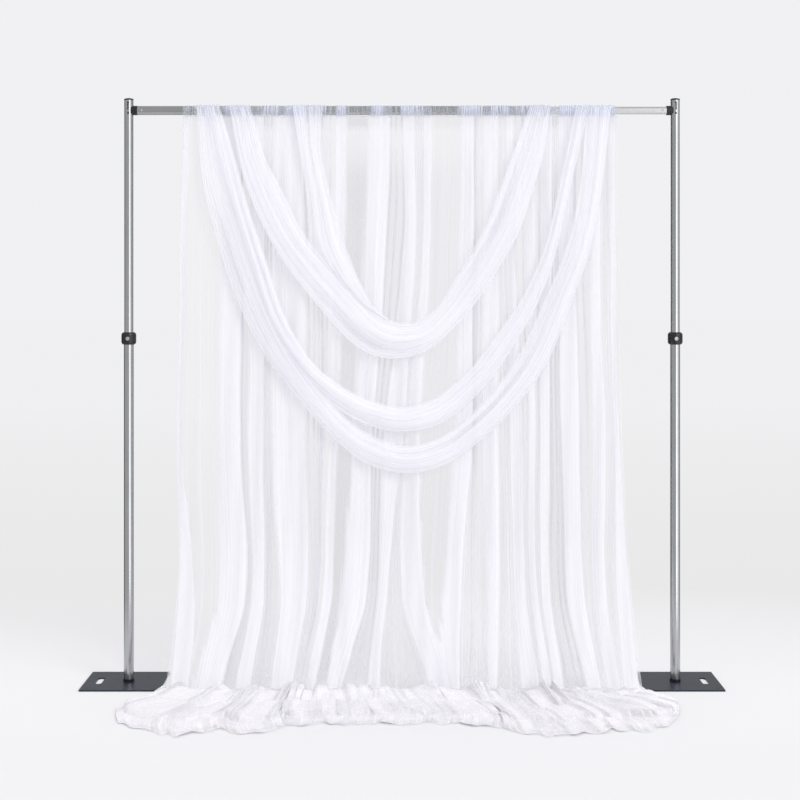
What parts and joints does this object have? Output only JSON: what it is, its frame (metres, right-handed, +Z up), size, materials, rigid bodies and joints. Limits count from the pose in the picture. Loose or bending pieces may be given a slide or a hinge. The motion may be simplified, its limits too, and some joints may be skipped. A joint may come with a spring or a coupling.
{
  "type": "pipe and drape backdrop",
  "caption": "Pipe and drape backdrop on two telescopic uprights with flat steel bases, a telescopic crossbar and a gathered sheer drape with swags and a train.",
  "frame": {"origin": "on the floor, under the centre of the box round the whole backdrop, train included", "axes": "+Z up, +X along the crossbar to the viewer's right, -Y towards the room that the swags and the train face"},
  "size_m": [2.648, 0.96, 2.446],
  "materials": {
    "silver_tube": "satin",
    "zinc": "satin",
    "powder_black": "satin",
    "black_plastic": "satin",
    "tulle": "matte",
    "tulle_sash": "matte"
  },
  "bodies": {
    "left_upright": {"left_lower_tube": "silver_tube", "left_foot_ring": "black_plastic", "left_clamp_collar": "black_plastic"},
    "left_base": {"left_base_plate": "powder_black", "left_base_screw": "zinc", "left_spigot": "zinc"},
    "left_screw": {"left_clamp_screw": "zinc"},
    "left_mast": {"left_upper_tube": "silver_tube", "left_guide_bush": "black_plastic", "left_top_cap": "black_plastic"},
    "bar_outer": {"bar_outer_tube": "silver_tube", "bar_sleeve": "black_plastic", "left_saddle_plug": "black_plastic", "left_hook_blade": "zinc", "left_hook_rivet": "zinc"},
    "bar_inner": {"bar_inner_tube": "silver_tube", "bar_bush": "black_plastic", "right_saddle_plug": "black_plastic", "right_hook_blade": "zinc", "right_hook_rivet": "zinc"},
    "right_mast": {"right_upper_tube": "silver_tube", "right_guide_bush": "black_plastic", "right_top_cap": "black_plastic"},
    "right_upright": {"right_lower_tube": "silver_tube", "right_foot_ring": "black_plastic", "right_clamp_collar": "black_plastic"},
    "right_screw": {"right_clamp_screw": "zinc"},
    "right_base": {"right_base_plate": "powder_black", "right_base_screw": "zinc", "right_spigot": "zinc"},
    "drape": {"curtain_left": "tulle", "curtain_centre": "tulle", "curtain_right": "tulle", "swag_upper": "tulle_sash", "swag_middle": "tulle_sash", "swag_lower": "tulle_sash"},
    "train": {"train_left": "tulle", "train_centre": "tulle", "train_right": "tulle"}
  },
  "joints": [
    {"name": "left_swivel", "type": "hinge", "parent": "left_upright", "child": "left_base", "pos_m": [-1.144, 0.33, 0], "axis": [0, 0, 1], "continuous": true},
    {"name": "left_clamp", "type": "hinge", "parent": "left_upright", "child": "left_screw", "pos_m": [-1.144, 0.299, 1.44], "axis": [0, -1, 0], "range_deg": [0, 720]},
    {"name": "left_height", "type": "slide", "parent": "left_upright", "child": "left_mast", "axis": [0, 0, 1], "range_m": [-0.9, 0], "deforming": ["curtain_left", "curtain_centre", "curtain_right", "swag_upper", "swag_middle", "swag_lower"]},
    {"name": "bar_lift", "type": "slide", "parent": "left_mast", "child": "bar_outer", "axis": [0, 0, 1], "range_m": [0, 0.014]},
    {"name": "bar_telescope", "type": "slide", "parent": "bar_outer", "child": "bar_inner", "axis": [1, 0, 0], "range_m": [-0.155, 0.76]},
    {"name": "right_unhook", "type": "slide", "parent": "bar_inner", "child": "right_mast", "axis": [0, 0, 1], "range_m": [-0.014, 0]},
    {"name": "right_height", "type": "slide", "parent": "right_mast", "child": "right_upright", "axis": [0, 0, 1], "range_m": [0, 0.9]},
    {"name": "right_clamp", "type": "hinge", "parent": "right_upright", "child": "right_screw", "pos_m": [1.144, 0.299, 1.44], "axis": [0, -1, 0], "range_deg": [0, 720]},
    {"name": "right_swivel", "type": "hinge", "parent": "right_upright", "child": "right_base", "pos_m": [1.144, 0.33, 0], "axis": [0, 0, 1], "continuous": true},
    {"name": "drape_slide", "type": "slide", "parent": "bar_outer", "child": "drape", "axis": [1, 0, 0], "range_m": [-0.15, 0.15]},
    {"name": "train_slide", "type": "slide", "parent": "left_upright", "child": "train", "axis": [1, 0, 0], "range_m": [-0.15, 0.15]}
  ],
  "couplings": [
    {"joint": "right_height", "follows": "left_height", "ratio": -1},
    {"joint": "right_unhook", "follows": "bar_lift", "ratio": -1},
    {"joint": "train_slide", "follows": "drape_slide", "ratio": 1}
  ]
}
